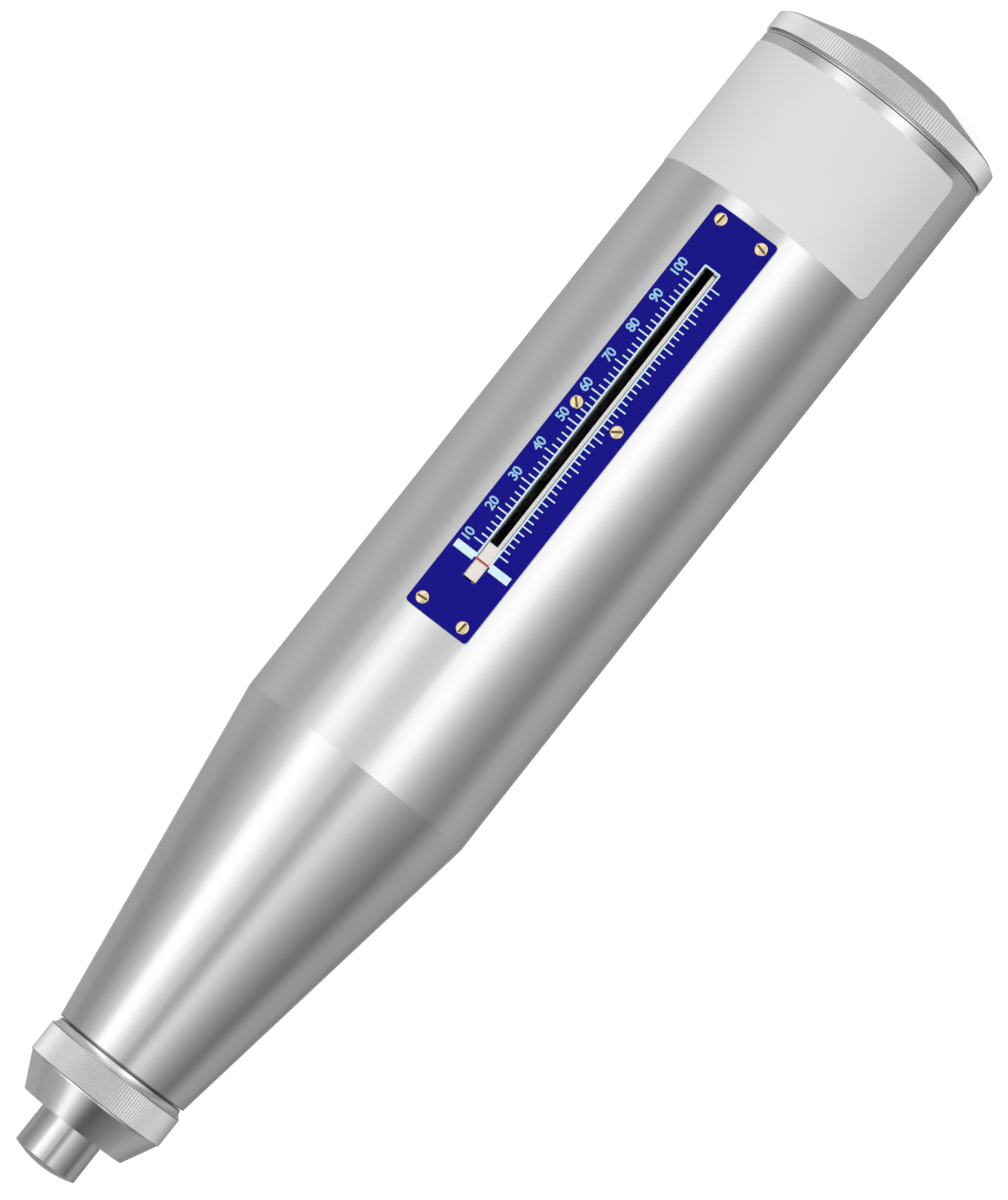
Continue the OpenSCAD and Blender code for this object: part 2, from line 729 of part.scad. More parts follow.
module button_spring() {
    wire = 0.3;
    seat_y = bush_in_y + bush_floor;
    color("slategray") translate([0, seat_y, button_z]) rotate([-90, 0, 0])
        coil(lock_pin_r + 0.9, wire, button_in_y - seat_y, 1.3 * wire);
}

// Rod that the rider slides on, held in the housing's two bosses
module guide_rod() {
    color("lightsteelblue") translate([0, -rod_y, rod_z + 0.6])
        cylinder(d = rod_d, h = rod_top_z - rod_z - 1.2);
}

// Block on the guide rod, shaped to the space between mass and tube
module rider_block() {
    out_y = rod_y + rod_r + 1;
    length = index_l - 1;
    color("dimgray") translate([0, 0, index_z - length / 2]) difference() {
        intersection() {
            translate([-rider_w / 2, -out_y, 0]) cube([rider_w, out_y, length]);
            cylinder(r = inner_r - free_gap, h = length);
        }
        translate([0, 0, -1]) cylinder(r = mass_r + 0.5, h = length + 2);
        translate([0, -rod_y, -1]) cylinder(r = rod_r + run_gap, h = length + 2);
    }
}

// Index plate that stands in the slot
module rider_index() {
    in_y = rod_y + rod_r + 1;
    out_y = housing_r - 0.5;
    color("ivory") translate([-index_w / 2, -out_y, index_z - index_l / 2])
        cube([index_w, out_y - in_y, index_l]);
}

module scale_plate() {
    color("navy") difference() {
        translate([0, 0, plate_z])
            block_y(plate_w, plate_l, plate_corner, -flat_y - plate_t, -flat_y);
        translate([-slot_w / 2, -flat_y - plate_t - 1, slot_z]) cube([slot_w, plate_t + 2, slot_l]);
        at_screws() translate([0, 0, -1]) cylinder(r = screw_d / 2 + run_gap, h = plate_t + 2);
    }
}

// Six slotted screws with domed heads
module scale_screws() {
    head_r = screw_head_d / 2;
    slot_half = 0.24;
    slot_depth = 0.33;
    edge_z = plate_t + screw_edge_h;
    top_z = plate_t + screw_head_h;
    color("goldenrod") at_screws() difference() {
        rotate_extrude() polygon(concat(
            [[0, face_gap - screw_depth], [screw_d / 2, face_gap - screw_depth],
             [screw_d / 2, plate_t], [head_r, plate_t]],
            [for (i = [0 : 5]) let (a = 15 * i)
                [head_r * cos(a), edge_z + (top_z - edge_z) * sin(a)]],
            [[0, top_z]]
        ));
        translate([-head_r - 1, -slot_half, top_z - slot_depth])
            cube([2 * head_r + 2, 2 * slot_half, 1]);
    }
}

// Blank label wrapped round the rear of the tube, with rounded corners. It is made of columns
// along the tube: each column gives the label's two ends, drawn in where a corner is rounded.
module blank_label() {
    z0 = tube_z + label_rise;
    z1 = plate_z - label_gap;
    turn = label_corner * 180 / (PI * housing_r);
    corner_steps = 6;
    middle_steps = ceil((label_to - label_from - 2 * turn) / 2.5);
    bends = [for (k = [0 : corner_steps - 1]) 90 * k / corner_steps];
    insets = concat(
        [for (b = bends) label_corner * (1 - sin(b))],
        [for (k = [0 : middle_steps]) 0],
        [for (k = [corner_steps - 1 : -1 : 0]) label_corner * (1 - sin(bends[k]))]);
    angles = concat(
        [for (b = bends) label_from + turn * (1 - cos(b))],
        [for (k = [0 : middle_steps])
            label_from + turn + (label_to - label_from - 2 * turn) * k / middle_steps],
        [for (k = [corner_steps - 1 : -1 : 0]) label_to - turn * (1 - cos(bends[k]))]);
    lift = label_t / 20;
    last = 4 * (len(angles) - 1);
    points = [
        for (i = [0 : len(angles) - 1])
            let (a = angles[i] - 90, inner = housing_r + lift, outer = housing_r + label_t)
            each [for (q = [[inner, z0 + insets[i]], [outer, z0 + insets[i]],
                            [outer, z1 - insets[i]], [inner, z1 - insets[i]]])
                [q[0] * cos(a), q[0] * sin(a), q[1]]]
    ];
    walls = [
        for (i = [0 : len(angles) - 2], j = [0 : 3])
            let (k = (j + 1) % 4, p = 4 * i, n = p + 4)
            each [[p + j, p + k, n + j], [p + k, n + k, n + j]]
    ];
    ends = [[0, 2, 1], [0, 3, 2], [last, last + 1, last + 2], [last, last + 2, last + 3]];
    color("whitesmoke") polyhedron(points = points, faces = concat(walls, ends));
}

housing();
rear_cover();
trip_screw();
lock_nut();
compression_spring();
guide_disk();
guide_bar();
bar_pin();
pawl();
pawl_pin();
pawl_spring();
hammer_mass();
impact_spring();
guide_sleeve();
two_part_ring();
front_cap();
felt_washer();
plunger();
retaining_spring();
push_button();
lock_pin();
button_bush();
button_spring();
guide_rod();
rider_block();
rider_index();
scale_plate();
scale_screws();
blank_label();
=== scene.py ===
"""Studio scene of a concrete test hammer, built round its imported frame.

Everything is in metres in the frame's axes: the rear face stands on z = 0, the nose points up,
the scale plate faces -Y and the push button faces +Y.
"""
import json
import math

import bmesh
import bpy
from mathutils import Matrix, Vector


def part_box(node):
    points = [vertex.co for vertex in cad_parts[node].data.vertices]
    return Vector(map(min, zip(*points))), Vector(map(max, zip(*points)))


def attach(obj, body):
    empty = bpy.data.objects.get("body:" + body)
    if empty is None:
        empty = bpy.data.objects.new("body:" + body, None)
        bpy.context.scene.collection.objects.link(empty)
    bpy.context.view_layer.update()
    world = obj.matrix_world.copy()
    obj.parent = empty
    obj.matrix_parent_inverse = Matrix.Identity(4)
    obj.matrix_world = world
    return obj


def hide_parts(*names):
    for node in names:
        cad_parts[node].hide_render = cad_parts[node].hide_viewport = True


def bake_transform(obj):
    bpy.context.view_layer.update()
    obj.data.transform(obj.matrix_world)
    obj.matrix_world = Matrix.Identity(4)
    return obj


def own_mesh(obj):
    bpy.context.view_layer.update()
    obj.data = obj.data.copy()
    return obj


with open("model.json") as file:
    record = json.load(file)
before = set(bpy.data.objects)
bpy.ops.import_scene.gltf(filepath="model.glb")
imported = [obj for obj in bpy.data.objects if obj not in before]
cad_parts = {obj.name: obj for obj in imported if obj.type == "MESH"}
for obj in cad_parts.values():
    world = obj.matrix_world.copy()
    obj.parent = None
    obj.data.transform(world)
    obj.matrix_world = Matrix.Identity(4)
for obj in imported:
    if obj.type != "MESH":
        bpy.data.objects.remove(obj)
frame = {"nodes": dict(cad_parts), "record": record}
bpy.ops.object.select_all(action="DESELECT")
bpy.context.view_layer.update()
MM = 0.001

# Places taken from the frame
PLATE_LOW, PLATE_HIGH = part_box("scale_plate")
INDEX_LOW, INDEX_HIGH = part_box("rider_index")
HOUSING_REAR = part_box("housing")[0].z
CAP_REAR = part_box("front_cap")[0].z

# The plate's slot, and the scale along it. A reading is a height below the slot's front end.
SLOT_MARGIN = 10.6 * MM
SLOT_LENGTH = 78 * MM
SLOT_HALF = 1.6 * MM
SLOT_TOP = PLATE_HIGH.z - SLOT_MARGIN
SLOT_BOTTOM = SLOT_TOP - SLOT_LENGTH
UNIT = 0.75 * MM
FIRST_READING, LAST_READING = 10, 100
MINOR_STEP, MAJOR_STEP = 2, 10

# Ink: its thickness, the border round the slot, and the marks. Side 1 is on the slot's right and
# side -1 on its left, and the marks reach to these distances from its middle.
INK = 0.025 * MM
INK_EDGE = 0.4 * INK
BORDER = 0.38 * MM
BORDER_TURN = 0.9 * BORDER
TICK_WIDTH = 0.28 * MM
TICK_START = SLOT_HALF + 0.9 * BORDER
MINOR_OUT = {1: 3.65 * MM, -1: 3.45 * MM}
MAJOR_OUT = {1: 4.4 * MM, -1: 4.15 * MM}

# Numbers: a digit's height, and what share of the font's size it is; their spacing, and how far
# their outlines are pushed out
DIGIT_HEIGHT = 2.0 * MM
DIGIT_SHARE = 0.7
DIGIT_SPACING = 0.92
DIGIT_SWELL = 0.05 * MM
DIGIT_X = 5.9 * MM

# The broad bars beside the index at rest, and the index's own line
BAR_Z = (INDEX_LOW.z + INDEX_HIGH.z) / 2
BAR_HEIGHT = 1.75 * MM
BAR_OUT = 6.8 * MM
LINE_HEIGHT = 0.5 * MM
LINE_INSET = 0.03 * MM

# The plate's screws: a pair at each end, and a pair a little behind the middle. Their slots are
# turned by a first angle, and by a step more for each row and side, in degrees. The shade patches
# are painted shade: dark brass at the bottom of a slot.
SCREWS_LOW, SCREWS_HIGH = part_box("scale_screws")
SCREW_HEAD = 2.7 * MM
SCREW_X = SCREWS_HIGH.x - SCREW_HEAD / 2
MIDDLE_ROW_BACK = 1.5 * MM
SCREW_ROWS = (SCREWS_LOW.z + SCREW_HEAD / 2,
              (PLATE_LOW.z + PLATE_HIGH.z) / 2 - MIDDLE_ROW_BACK,
              SCREWS_HIGH.z - SCREW_HEAD / 2)
SCREW_TURN, SCREW_TURN_STEP = 35, 50
SHADE_PATCH_LENGTH, SHADE_PATCH_WIDTH = 2.3 * MM, 0.48 * MM
SHADE_PATCH_Y = SCREWS_LOW.y + 0.33 * MM

# Painted shade in the joints at the housing's ends: up to the first height and from the second one
REAR_SHADE_TOP = HOUSING_REAR + 0.2 * MM
FRONT_SHADE_START = CAP_REAR - 0.55 * MM

# The springs' wire: sides of its section, and steps in one turn
WIRE_SIDES = 12
TURN_STEPS = 24


# Camera and light

def math_node(tree, operation, *values):
    """A Math node whose inputs are sockets or numbers. Returns its output."""
    node = tree.nodes.new("ShaderNodeMath")
    node.operation = operation
    for i, value in enumerate(values):
        if isinstance(value, (int, float)):
            node.inputs[i].default_value = value
        else:
            tree.links.new(value, node.inputs[i])
    return node.outputs[0]


def away(azimuth, elevation):
    """Unit vector from the hammer at an azimuth, 0 in front of the scale, and an elevation."""
    a, e = math.radians(azimuth), math.radians(elevation)
    return Vector((math.sin(a) * math.cos(e), -math.cos(a) * math.cos(e), math.sin(e)))


def make_camera():
    """Long lens in front of the scale, rolled so that the nose points down and to the left."""
    azimuth, elevation, distance = -11.6, 3.3, 1.391
    nose_angle = math.radians(231.7)
    aim_height, aim_side = 0.1331, -2.6 * MM
    back = away(azimuth, elevation)
    side = Vector((math.cos(math.radians(azimuth)), math.sin(math.radians(azimuth)), 0))
    up = back.cross(side)
    right_axis = math.cos(nose_angle) * up + math.sin(nose_angle) * side
    up_axis = math.sin(nose_angle) * up - math.cos(nose_angle) * side
    data = bpy.data.cameras.new("camera")
    data.lens = 207.5
    data.sensor_width = 36
    data.clip_start, data.clip_end = 0.05, 60
    camera = bpy.data.objects.new("camera", data)
    bpy.context.scene.collection.objects.link(camera)
    place = Vector((0, 0, aim_height)) + side * aim_side + back * distance
    turn = Matrix((right_axis, up_axis, back)).transposed().to_4x4()
    camera.matrix_world = Matrix.Translation(place) @ turn
    bpy.context.scene.camera = camera


def make_softbox(name, azimuth, height, distance, size, power):
    """Upright rectangular light that faces the hammer's axis. size is its width and height."""
    data = bpy.data.lights.new(name, "AREA")
    data.shape = "RECTANGLE"
    data.size, data.size_y = size
    data.energy = power
    lamp = bpy.data.objects.new(name, data)
    bpy.context.scene.collection.objects.link(lamp)
    back = away(azimuth, 0)
    side = Vector((0, 0, 1)).cross(back)
    place = back * distance + Vector((0, 0, height))
    turn = Matrix((side, Vector((0, 0, 1)), back)).transposed().to_4x4()
    lamp.matrix_world = Matrix.Translation(place) @ turn
    lamp.visible_glossy = False


def make_lights():
    """Two soft lights in front and one behind, all above the hammer's middle."""
    make_softbox("softbox_right", azimuth=30, height=0.6, distance=1.1, size=(0.5, 0.8), power=4.0)
    make_softbox("softbox_left", azimuth=-32, height=0.6, distance=1.1, size=(0.5, 0.8), power=4.0)
    make_softbox("softbox_back", azimuth=175, height=0.7, distance=1.3, size=(0.8, 0.8), power=4.0)


# Brightness of the reflector round the hammer, as (azimuth, value), for the heights that the
# tube, the cone and the nose cap's slope mirror. A ramp's colours end at 1, so they hold these
# values divided by WALL_PEAK.
LOW_WALL = (
    (-180, 0.31), (-173, 0.30), (-160, 0.28), (-141, 0.39), (-127, 0.43), (-115, 0.46),
    (-104, 0.35), (-95, 0.24), (-86, 0.27), (-78, 0.35), (-70, 0.43), (-62, 0.54), (-55, 0.72),
    (-47, 0.92), (-40, 1.24), (-33, 1.33), (-26, 1.25), (-19, 0.99), (-13, 0.73), (1, 0.72),
    (8, 0.83), (15, 1.05), (22, 1.17), (29, 1.28), (36, 0.94), (44, 0.78), (52, 0.65),
    (60, 0.46), (76, 0.46), (94, 0.55), (130, 0.44), (180, 0.31))
MIDDLE_WALL = (
    (-180, 0.30), (-160, 0.24), (-142, 0.36), (-117, 0.40), (-104, 0.29),
    (-95, 0.17), (-84, 0.24), (-72, 0.32), (-62, 0.42), (-52, 0.54), (-40, 0.76), (-30, 0.91),
    (-20, 0.48), (-12, 0.38), (-6, 0.70), (2, 0.74), (13, 1.11), (26, 1.39), (35, 1.30),
    (43, 0.78), (60, 0.51), (80, 0.34), (96, 0.32), (108, 0.41), (144, 0.40), (180, 0.30))
HIGH_WALL = (
    (-180, 0.25), (-150, 0.30), (-118, 0.36), (-99, 0.31), (-82, 0.20), (-67, 0.15),
    (-53, 0.13), (-40, 0.05), (-26, 0.05), (-13, 0.14), (0, 0.40), (13, 0.70), (25, 1.25),
    (34, 1.25), (45, 0.50), (55, 0.42), (71, 0.36), (90, 0.42), (113, 0.30), (180, 0.25))
WALL_PEAK = 1.6

# The reflector's shape; the heights over which one ramp passes into the next; and how deep its
# bottom and top bands are, and how bright at the rim
WALL_RADIUS = 0.3
WALL_BOTTOM, WALL_TOP = -0.5, 1.2
MIDDLE_FROM, MIDDLE_FULL = 0.19, 0.25
HIGH_FROM, HIGH_FULL = 0.47, 0.54
BOTTOM_BAND, BOTTOM_LEVEL = 0.02, 0.75
TOP_BAND, TOP_LEVEL = 0.2, 0.45

# A bright upright strip behind the hammer: its sides, as cosines of the angle from its middle, and
# the heights over which it comes up and fades
STRIP_AZIMUTH = 168
STRIP_LEVEL = 0.9
STRIP_SIDE_FROM, STRIP_SIDE_FULL = 0.955, 1.0
STRIP_FOOT_FROM, STRIP_FOOT_FULL = -0.02, 0.03
STRIP_HEAD_FROM, STRIP_HEAD_FULL = 0.3, 0.24

# Brightness of the world for lighting, and of the floor's own glow where it is seen
ROOM_LEVEL = 0.55
FLOOR_GLOW = 0.62


def object_place(tree):
    """Object coordinates: the whole vector, and outputs "X", "Y" and "Z"."""
    place = tree.nodes.new("ShaderNodeTexCoord").outputs["Object"]
    split = tree.nodes.new("ShaderNodeSeparateXYZ")
    tree.links.new(place, split.inputs[0])
    return place, split.outputs


def wall_ramp(tree, around, stops):
    """Brightness round the reflector, as a ramp from azimuth -180 to 180."""
    node = tree.nodes.new("ShaderNodeValToRGB")
    ramp = node.color_ramp
    while len(ramp.elements) < len(stops):
        ramp.elements.new(0.5)
    for element, (azimuth, _) in zip(ramp.elements, stops):
        element.position = (azimuth + 180) / 360
    for element, (_, value) in zip(ramp.elements, stops):
        element.color = (value / WALL_PEAK,) * 3 + (1,)
    tree.links.new(around, node.inputs["Fac"])
    return node.outputs["Color"]


def wall_step(tree, value, start, full):
    """0 up to start, 1 from full on, smooth between. full may be the lower one of the two."""
    node = tree.nodes.new("ShaderNodeMapRange")
    node.interpolation_type = "SMOOTHSTEP"
    node.inputs["From Min"].default_value = start
    node.inputs["From Max"].default_value = full
    tree.links.new(value, node.inputs["Value"])
    return node.outputs["Result"]


def wall_mix(tree, factor, first, second):
    """Brightness first where the factor is 0 and second, an output or a number, where it is 1."""
    node = tree.nodes.new("ShaderNodeMix")
    tree.links.new(factor, node.inputs["Factor"])
    tree.links.new(first, node.inputs["A"])
    if isinstance(second, float):
        node.inputs["B"].default_value = second
    else:
        tree.links.new(second, node.inputs["B"])
    return node.outputs["Result"]


def make_reflector():
    """Round grey wall with light and dark parts. Only reflections on the hammer see it."""
    bpy.ops.mesh.primitive_cylinder_add(vertices=96, radius=WALL_RADIUS,
                                        depth=WALL_TOP - WALL_BOTTOM,
                                        end_fill_type="NGON", location=(0, 0, 0))
    wall = bpy.context.object
    wall.name = "reflector"
    wall.data.transform(Matrix.Translation((0, 0, (WALL_TOP + WALL_BOTTOM) / 2)))
    material = bpy.data.materials.new("reflector")
    material.use_nodes = True
    tree = material.node_tree
    tree.nodes.clear()
    _, place = object_place(tree)
    turn = math_node(tree, "ARCTAN2", place["X"], math_node(tree, "MULTIPLY", place["Y"], -1))
    around = math_node(tree, "ADD", math_node(tree, "DIVIDE", turn, 2 * math.pi), 0.5)
    level = wall_ramp(tree, around, LOW_WALL)
    for stops, start, full in ((MIDDLE_WALL, MIDDLE_FROM, MIDDLE_FULL),
                               (HIGH_WALL, HIGH_FROM, HIGH_FULL)):
        level = wall_mix(tree, wall_step(tree, place["Z"], start, full), level,
                         wall_ramp(tree, around, stops))
    for start, full, rim_level in ((WALL_BOTTOM + BOTTOM_BAND, WALL_BOTTOM, BOTTOM_LEVEL),
                                   (WALL_TOP - TOP_BAND, WALL_TOP, TOP_LEVEL)):
        level = wall_mix(tree, wall_step(tree, place["Z"], start, full), level,
                         rim_level / WALL_PEAK)
    behind = away(STRIP_AZIMUTH, 0) / WALL_RADIUS
    facing = math_node(tree, "ADD", math_node(tree, "MULTIPLY", place["X"], behind.x),
                       math_node(tree, "MULTIPLY", place["Y"], behind.y))
    strip = math_node(tree, "MULTIPLY",
                      wall_step(tree, facing, STRIP_SIDE_FROM, STRIP_SIDE_FULL),
                      wall_step(tree, place["Z"], STRIP_FOOT_FROM, STRIP_FOOT_FULL))
    strip = math_node(tree, "MULTIPLY", strip,
                      wall_step(tree, place["Z"], STRIP_HEAD_FROM, STRIP_HEAD_FULL))
    glow = tree.nodes.new("ShaderNodeEmission")
    tree.links.new(math_node(tree, "ADD", math_node(tree, "MULTIPLY", strip, STRIP_LEVEL),
                             math_node(tree, "MULTIPLY", level, WALL_PEAK)),
                   glow.inputs["Strength"])
    output = tree.nodes.new("ShaderNodeOutputMaterial")
    tree.links.new(glow.outputs[0], output.inputs["Surface"])
    material.cycles.emission_sampling = "NONE"
    wall.data.materials.append(material)
    wall.visible_camera = False
    wall.visible_diffuse = False
    wall.visible_transmission = False
    wall.visible_shadow = False
    wall.visible_volume_scatter = False
    wall.select_set(False)


def rays_that_see(tree):
    """1 for rays that show the background: from the camera, mirrored or let through."""
    path = tree.nodes.new("ShaderNodeLightPath")
    return math_node(tree, "MAXIMUM", path.outputs["Is Camera Ray"],
                     math_node(tree, "MAXIMUM", path.outputs["Is Glossy Ray"],
                               path.outputs["Is Transmission Ray"]))


def make_world():
    """Plain grey room for lighting, white where the camera looks past the hammer."""
    world = bpy.data.worlds.new("room")
    bpy.context.scene.world = world
    world.use_nodes = True
    tree = world.node_tree
    tree.nodes.clear()
    output = tree.nodes.new("ShaderNodeOutputWorld")
    background = tree.nodes.new("ShaderNodeBackground")
    background.inputs["Color"].default_value = (1, 1, 1, 1)
    level = tree.nodes.new("ShaderNodeMapRange")
    level.inputs["To Min"].default_value = ROOM_LEVEL
    level.inputs["To Max"].default_value = 1.0
    tree.links.new(rays_that_see(tree), level.inputs["Value"])
    tree.links.new(level.outputs["Result"], background.inputs["Strength"])
    tree.links.new(background.outputs[0], output.inputs["Surface"])


def make_floor():
    """Pale floor that shows white to the camera and keeps the hammer's shadow."""
    bpy.ops.mesh.primitive_circle_add(vertices=64, radius=6, fill_type="NGON", location=(0, 0, 0))
    floor = bpy.context.object
    floor.name = "floor"
    material = bpy.data.materials.new("pale_floor")
    material.use_nodes = True
    tree = material.node_tree
    tree.nodes.clear()
    output = tree.nodes.new("ShaderNodeOutputMaterial")
    diffuse = tree.nodes.new("ShaderNodeBsdfDiffuse")
    diffuse.inputs["Color"].default_value = (0.82, 0.82, 0.82, 1)
    glow = tree.nodes.new("ShaderNodeEmission")
    tree.links.new(math_node(tree, "MULTIPLY", rays_that_see(tree), FLOOR_GLOW),
                   glow.inputs["Strength"])
    both = tree.nodes.new("ShaderNodeAddShader")
    tree.links.new(diffuse.outputs[0], both.inputs[0])
    tree.links.new(glow.outputs[0], both.inputs[1])
    tree.links.new(both.outputs[0], output.inputs["Surface"])
    floor.data.materials.append(material)
    floor.visible_glossy = False
    floor.select_set(False)


# Node groups: effects that several materials share

def new_group(name, inputs, outputs):
    """An empty node group with float inputs {name: value} and float outputs (name, ...)."""
    group = bpy.data.node_groups.new(name, "ShaderNodeTree")
    for label, value in inputs.items():
        socket = group.interface.new_socket(label, in_out="INPUT", socket_type="NodeSocketFloat")
        socket.default_value = value
    for label in outputs:
        group.interface.new_socket(label, in_out="OUTPUT", socket_type="NodeSocketFloat")
    start = group.nodes.new("NodeGroupInput")
    end = group.nodes.new("NodeGroupOutput")
    return group, start, end


def noise(tree, place, scale, detail):
    """Cloudy 0 to 1 value over a vector. scale is an output."""
    node = tree.nodes.new("ShaderNodeTexNoise")
    node.inputs["Detail"].default_value = detail
    tree.links.new(place, node.inputs["Vector"])
    tree.links.new(scale, node.inputs["Scale"])
    return node.outputs["Fac"]


def make_turned_group():
    """Rings left by the lathe round the Z axis. Tone mixes them with wider blotches."""
    ring_share, blotch_share = 0.4, 0.6
    tree, start, end = new_group(
        "turned_rings", {"Rings per metre": 4000.0, "Blotch size": 0.02}, ("Height", "Tone"))
    whole, place = object_place(tree)
    ring = tree.nodes.new("ShaderNodeTexNoise")
    ring.noise_dimensions = "1D"
    ring.inputs["Scale"].default_value = 1.0
    ring.inputs["Detail"].default_value = 3.0
    tree.links.new(math_node(tree, "MULTIPLY", place["Z"], start.outputs["Rings per metre"]),
                   ring.inputs["W"])
    blotch = noise(tree, whole, math_node(tree, "DIVIDE", 1.0, start.outputs["Blotch size"]), 4.0)
    tree.links.new(ring.outputs["Fac"], end.inputs["Height"])
    tree.links.new(math_node(tree, "ADD",
                             math_node(tree, "MULTIPLY", ring.outputs["Fac"], ring_share),
                             math_node(tree, "MULTIPLY", blotch, blotch_share)),
                   end.inputs["Tone"])
    return tree


def make_grain_group():
    """Even fine grain, as on a matt surface, felt or paper. Tone is the same, much coarser."""
    coarser = 0.03
    tree, start, end = new_group(
        "fine_grain", {"Grains per metre": 3000.0}, ("Height", "Tone"))
    whole = tree.nodes.new("ShaderNodeTexCoord").outputs["Object"]
    grains = start.outputs["Grains per metre"]
    tree.links.new(noise(tree, whole, grains, 2.0), end.inputs["Height"])
    tree.links.new(noise(tree, whole, math_node(tree, "MULTIPLY", grains, coarser), 3.0),
                   end.inputs["Tone"])
    return tree


def make_recess_group():
    """Zone is 1 within a range of heights. Shade is 1 there where the surface lies the given depth
    or more under the outer radius, for painted shade in recesses."""
    tree, start, end = new_group(
        "recess_shade", {"Outer radius": 0.02, "Depth": 0.0004, "From height": 0.0, "To height": 1.0},
        ("Shade", "Zone"))
    _, place = object_place(tree)
    x, y, z = (place[axis] for axis in "XYZ")
    radius = math_node(tree, "SQRT", math_node(tree, "ADD", math_node(tree, "MULTIPLY", x, x),
                                               math_node(tree, "MULTIPLY", y, y)))
    deep = math_node(tree, "DIVIDE",
                     math_node(tree, "SUBTRACT", start.outputs["Outer radius"], radius),
                     start.outputs["Depth"])
    deep = math_node(tree, "MINIMUM", math_node(tree, "MAXIMUM", deep, 0.0), 1.0)
    zone = math_node(tree, "MULTIPLY",
                     math_node(tree, "GREATER_THAN", z, start.outputs["From height"]),
                     math_node(tree, "LESS_THAN", z, start.outputs["To height"]))
    tree.links.new(math_node(tree, "MULTIPLY", deep, zone), end.inputs["Shade"])
    tree.links.new(zone, end.inputs["Zone"])
    return tree


TURNED = make_turned_group()
GRAIN = make_grain_group()
RECESS_SHADE = make_recess_group()

# With these values the recess shade group paints shade over the whole surface between its heights,
# because the hammer lies well inside this radius
WHOLE_ZONE = {"Outer_radius": 0.1, "Depth": 0.001}

# Noise keeps mostly between these values
NOISE_LOW, NOISE_HIGH = 0.25, 0.75


# Materials

class Finish:
    """One material with its Principled shader, and short ways to feed the shader's sockets."""

    def __init__(self, name, color, metallic, roughness):
        self.material = bpy.data.materials.new(name)
        self.material.use_nodes = True
        self.tree = self.material.node_tree
        self.shader = self.tree.nodes["Principled BSDF"]
        self.shader.inputs["Base Color"].default_value = (*color, 1)
        self.shader.inputs["Metallic"].default_value = metallic
        self.shader.inputs["Roughness"].default_value = roughness

    def group(self, group, **values):
        """Places a node group with its own values. Underscores in names stand for spaces."""
        node = self.tree.nodes.new("ShaderNodeGroup")
        node.node_tree = group
        for label, value in values.items():
            node.inputs[label.replace("_", " ")].default_value = value
        return node

    def object_axis(self, axis):
        """Output that holds one object coordinate."""
        return object_place(self.tree)[1][axis]

    def spread(self, value, low, high, socket):
        """Feeds noise into a shader socket, spread between two numbers."""
        node = self.tree.nodes.new("ShaderNodeMapRange")
        node.inputs["From Min"].default_value = NOISE_LOW
        node.inputs["From Max"].default_value = NOISE_HIGH
        node.inputs["To Min"].default_value = low
        node.inputs["To Max"].default_value = high
        self.tree.links.new(value, node.inputs["Value"])
        self.tree.links.new(node.outputs["Result"], self.shader.inputs[socket])

    def tint(self, factor, first, second):
        """Feeds Base Color with first where the factor is 0 and second where it is 1. Both are
        colours or outputs. Returns the mix."""
        node = self.tree.nodes.new("ShaderNodeMix")
        node.data_type = "RGBA"
        self.tree.links.new(factor, node.inputs["Factor"])
        for name, value in (("A", first), ("B", second)):
            socket = [s for s in node.inputs if s.name == name and s.type == "RGBA"][0]
            if isinstance(value, tuple):
                socket.default_value = (*value, 1)
            else:
                self.tree.links.new(value, socket)
        result = [s for s in node.outputs if s.type == "RGBA"][0]
        self.tree.links.new(result, self.shader.inputs["Base Color"])
        return result

    def bump(self, height, depth, strength):
        """Feeds Normal with a relief of a depth in metres."""
        node = self.tree.nodes.new("ShaderNodeBump")
        node.inputs["Strength"].default_value = strength
        node.inputs["Distance"].default_value = depth
        self.tree.links.new(height, node.inputs["Height"])
        self.tree.links.new(node.outputs["Normal"], self.shader.inputs["Normal"])


def satin_aluminium():
    """The turned housing, with painted shade where the cover and the nose cap meet it."""
    finish = Finish("satin_aluminium", (0.78, 0.78, 0.785), 1.0, 0.22)
    rings = finish.group(TURNED, Rings_per_metre=5200.0, Blotch_size=0.03)
    clean = finish.tint(rings.outputs["Tone"], (0.75, 0.75, 0.757), (0.81, 0.81, 0.813))
    # Painted shade: dark bands on the tube where the cover and the nose cap meet it
    rear_joint_shade = finish.group(RECESS_SHADE, **WHOLE_ZONE, To_height=REAR_SHADE_TOP)
    shaded = finish.tint(rear_joint_shade.outputs["Shade"], clean, (0.2, 0.2, 0.2))
    front_joint_shade = finish.group(RECESS_SHADE, **WHOLE_ZONE, From_height=FRONT_SHADE_START)
    finish.tint(front_joint_shade.outputs["Shade"], shaded, (0.3, 0.3, 0.3))
    finish.spread(rings.outputs["Tone"], 0.18, 0.24, "Roughness")
    finish.bump(rings.outputs["Height"], 0.003 * MM, 0.5)
    return finish.material


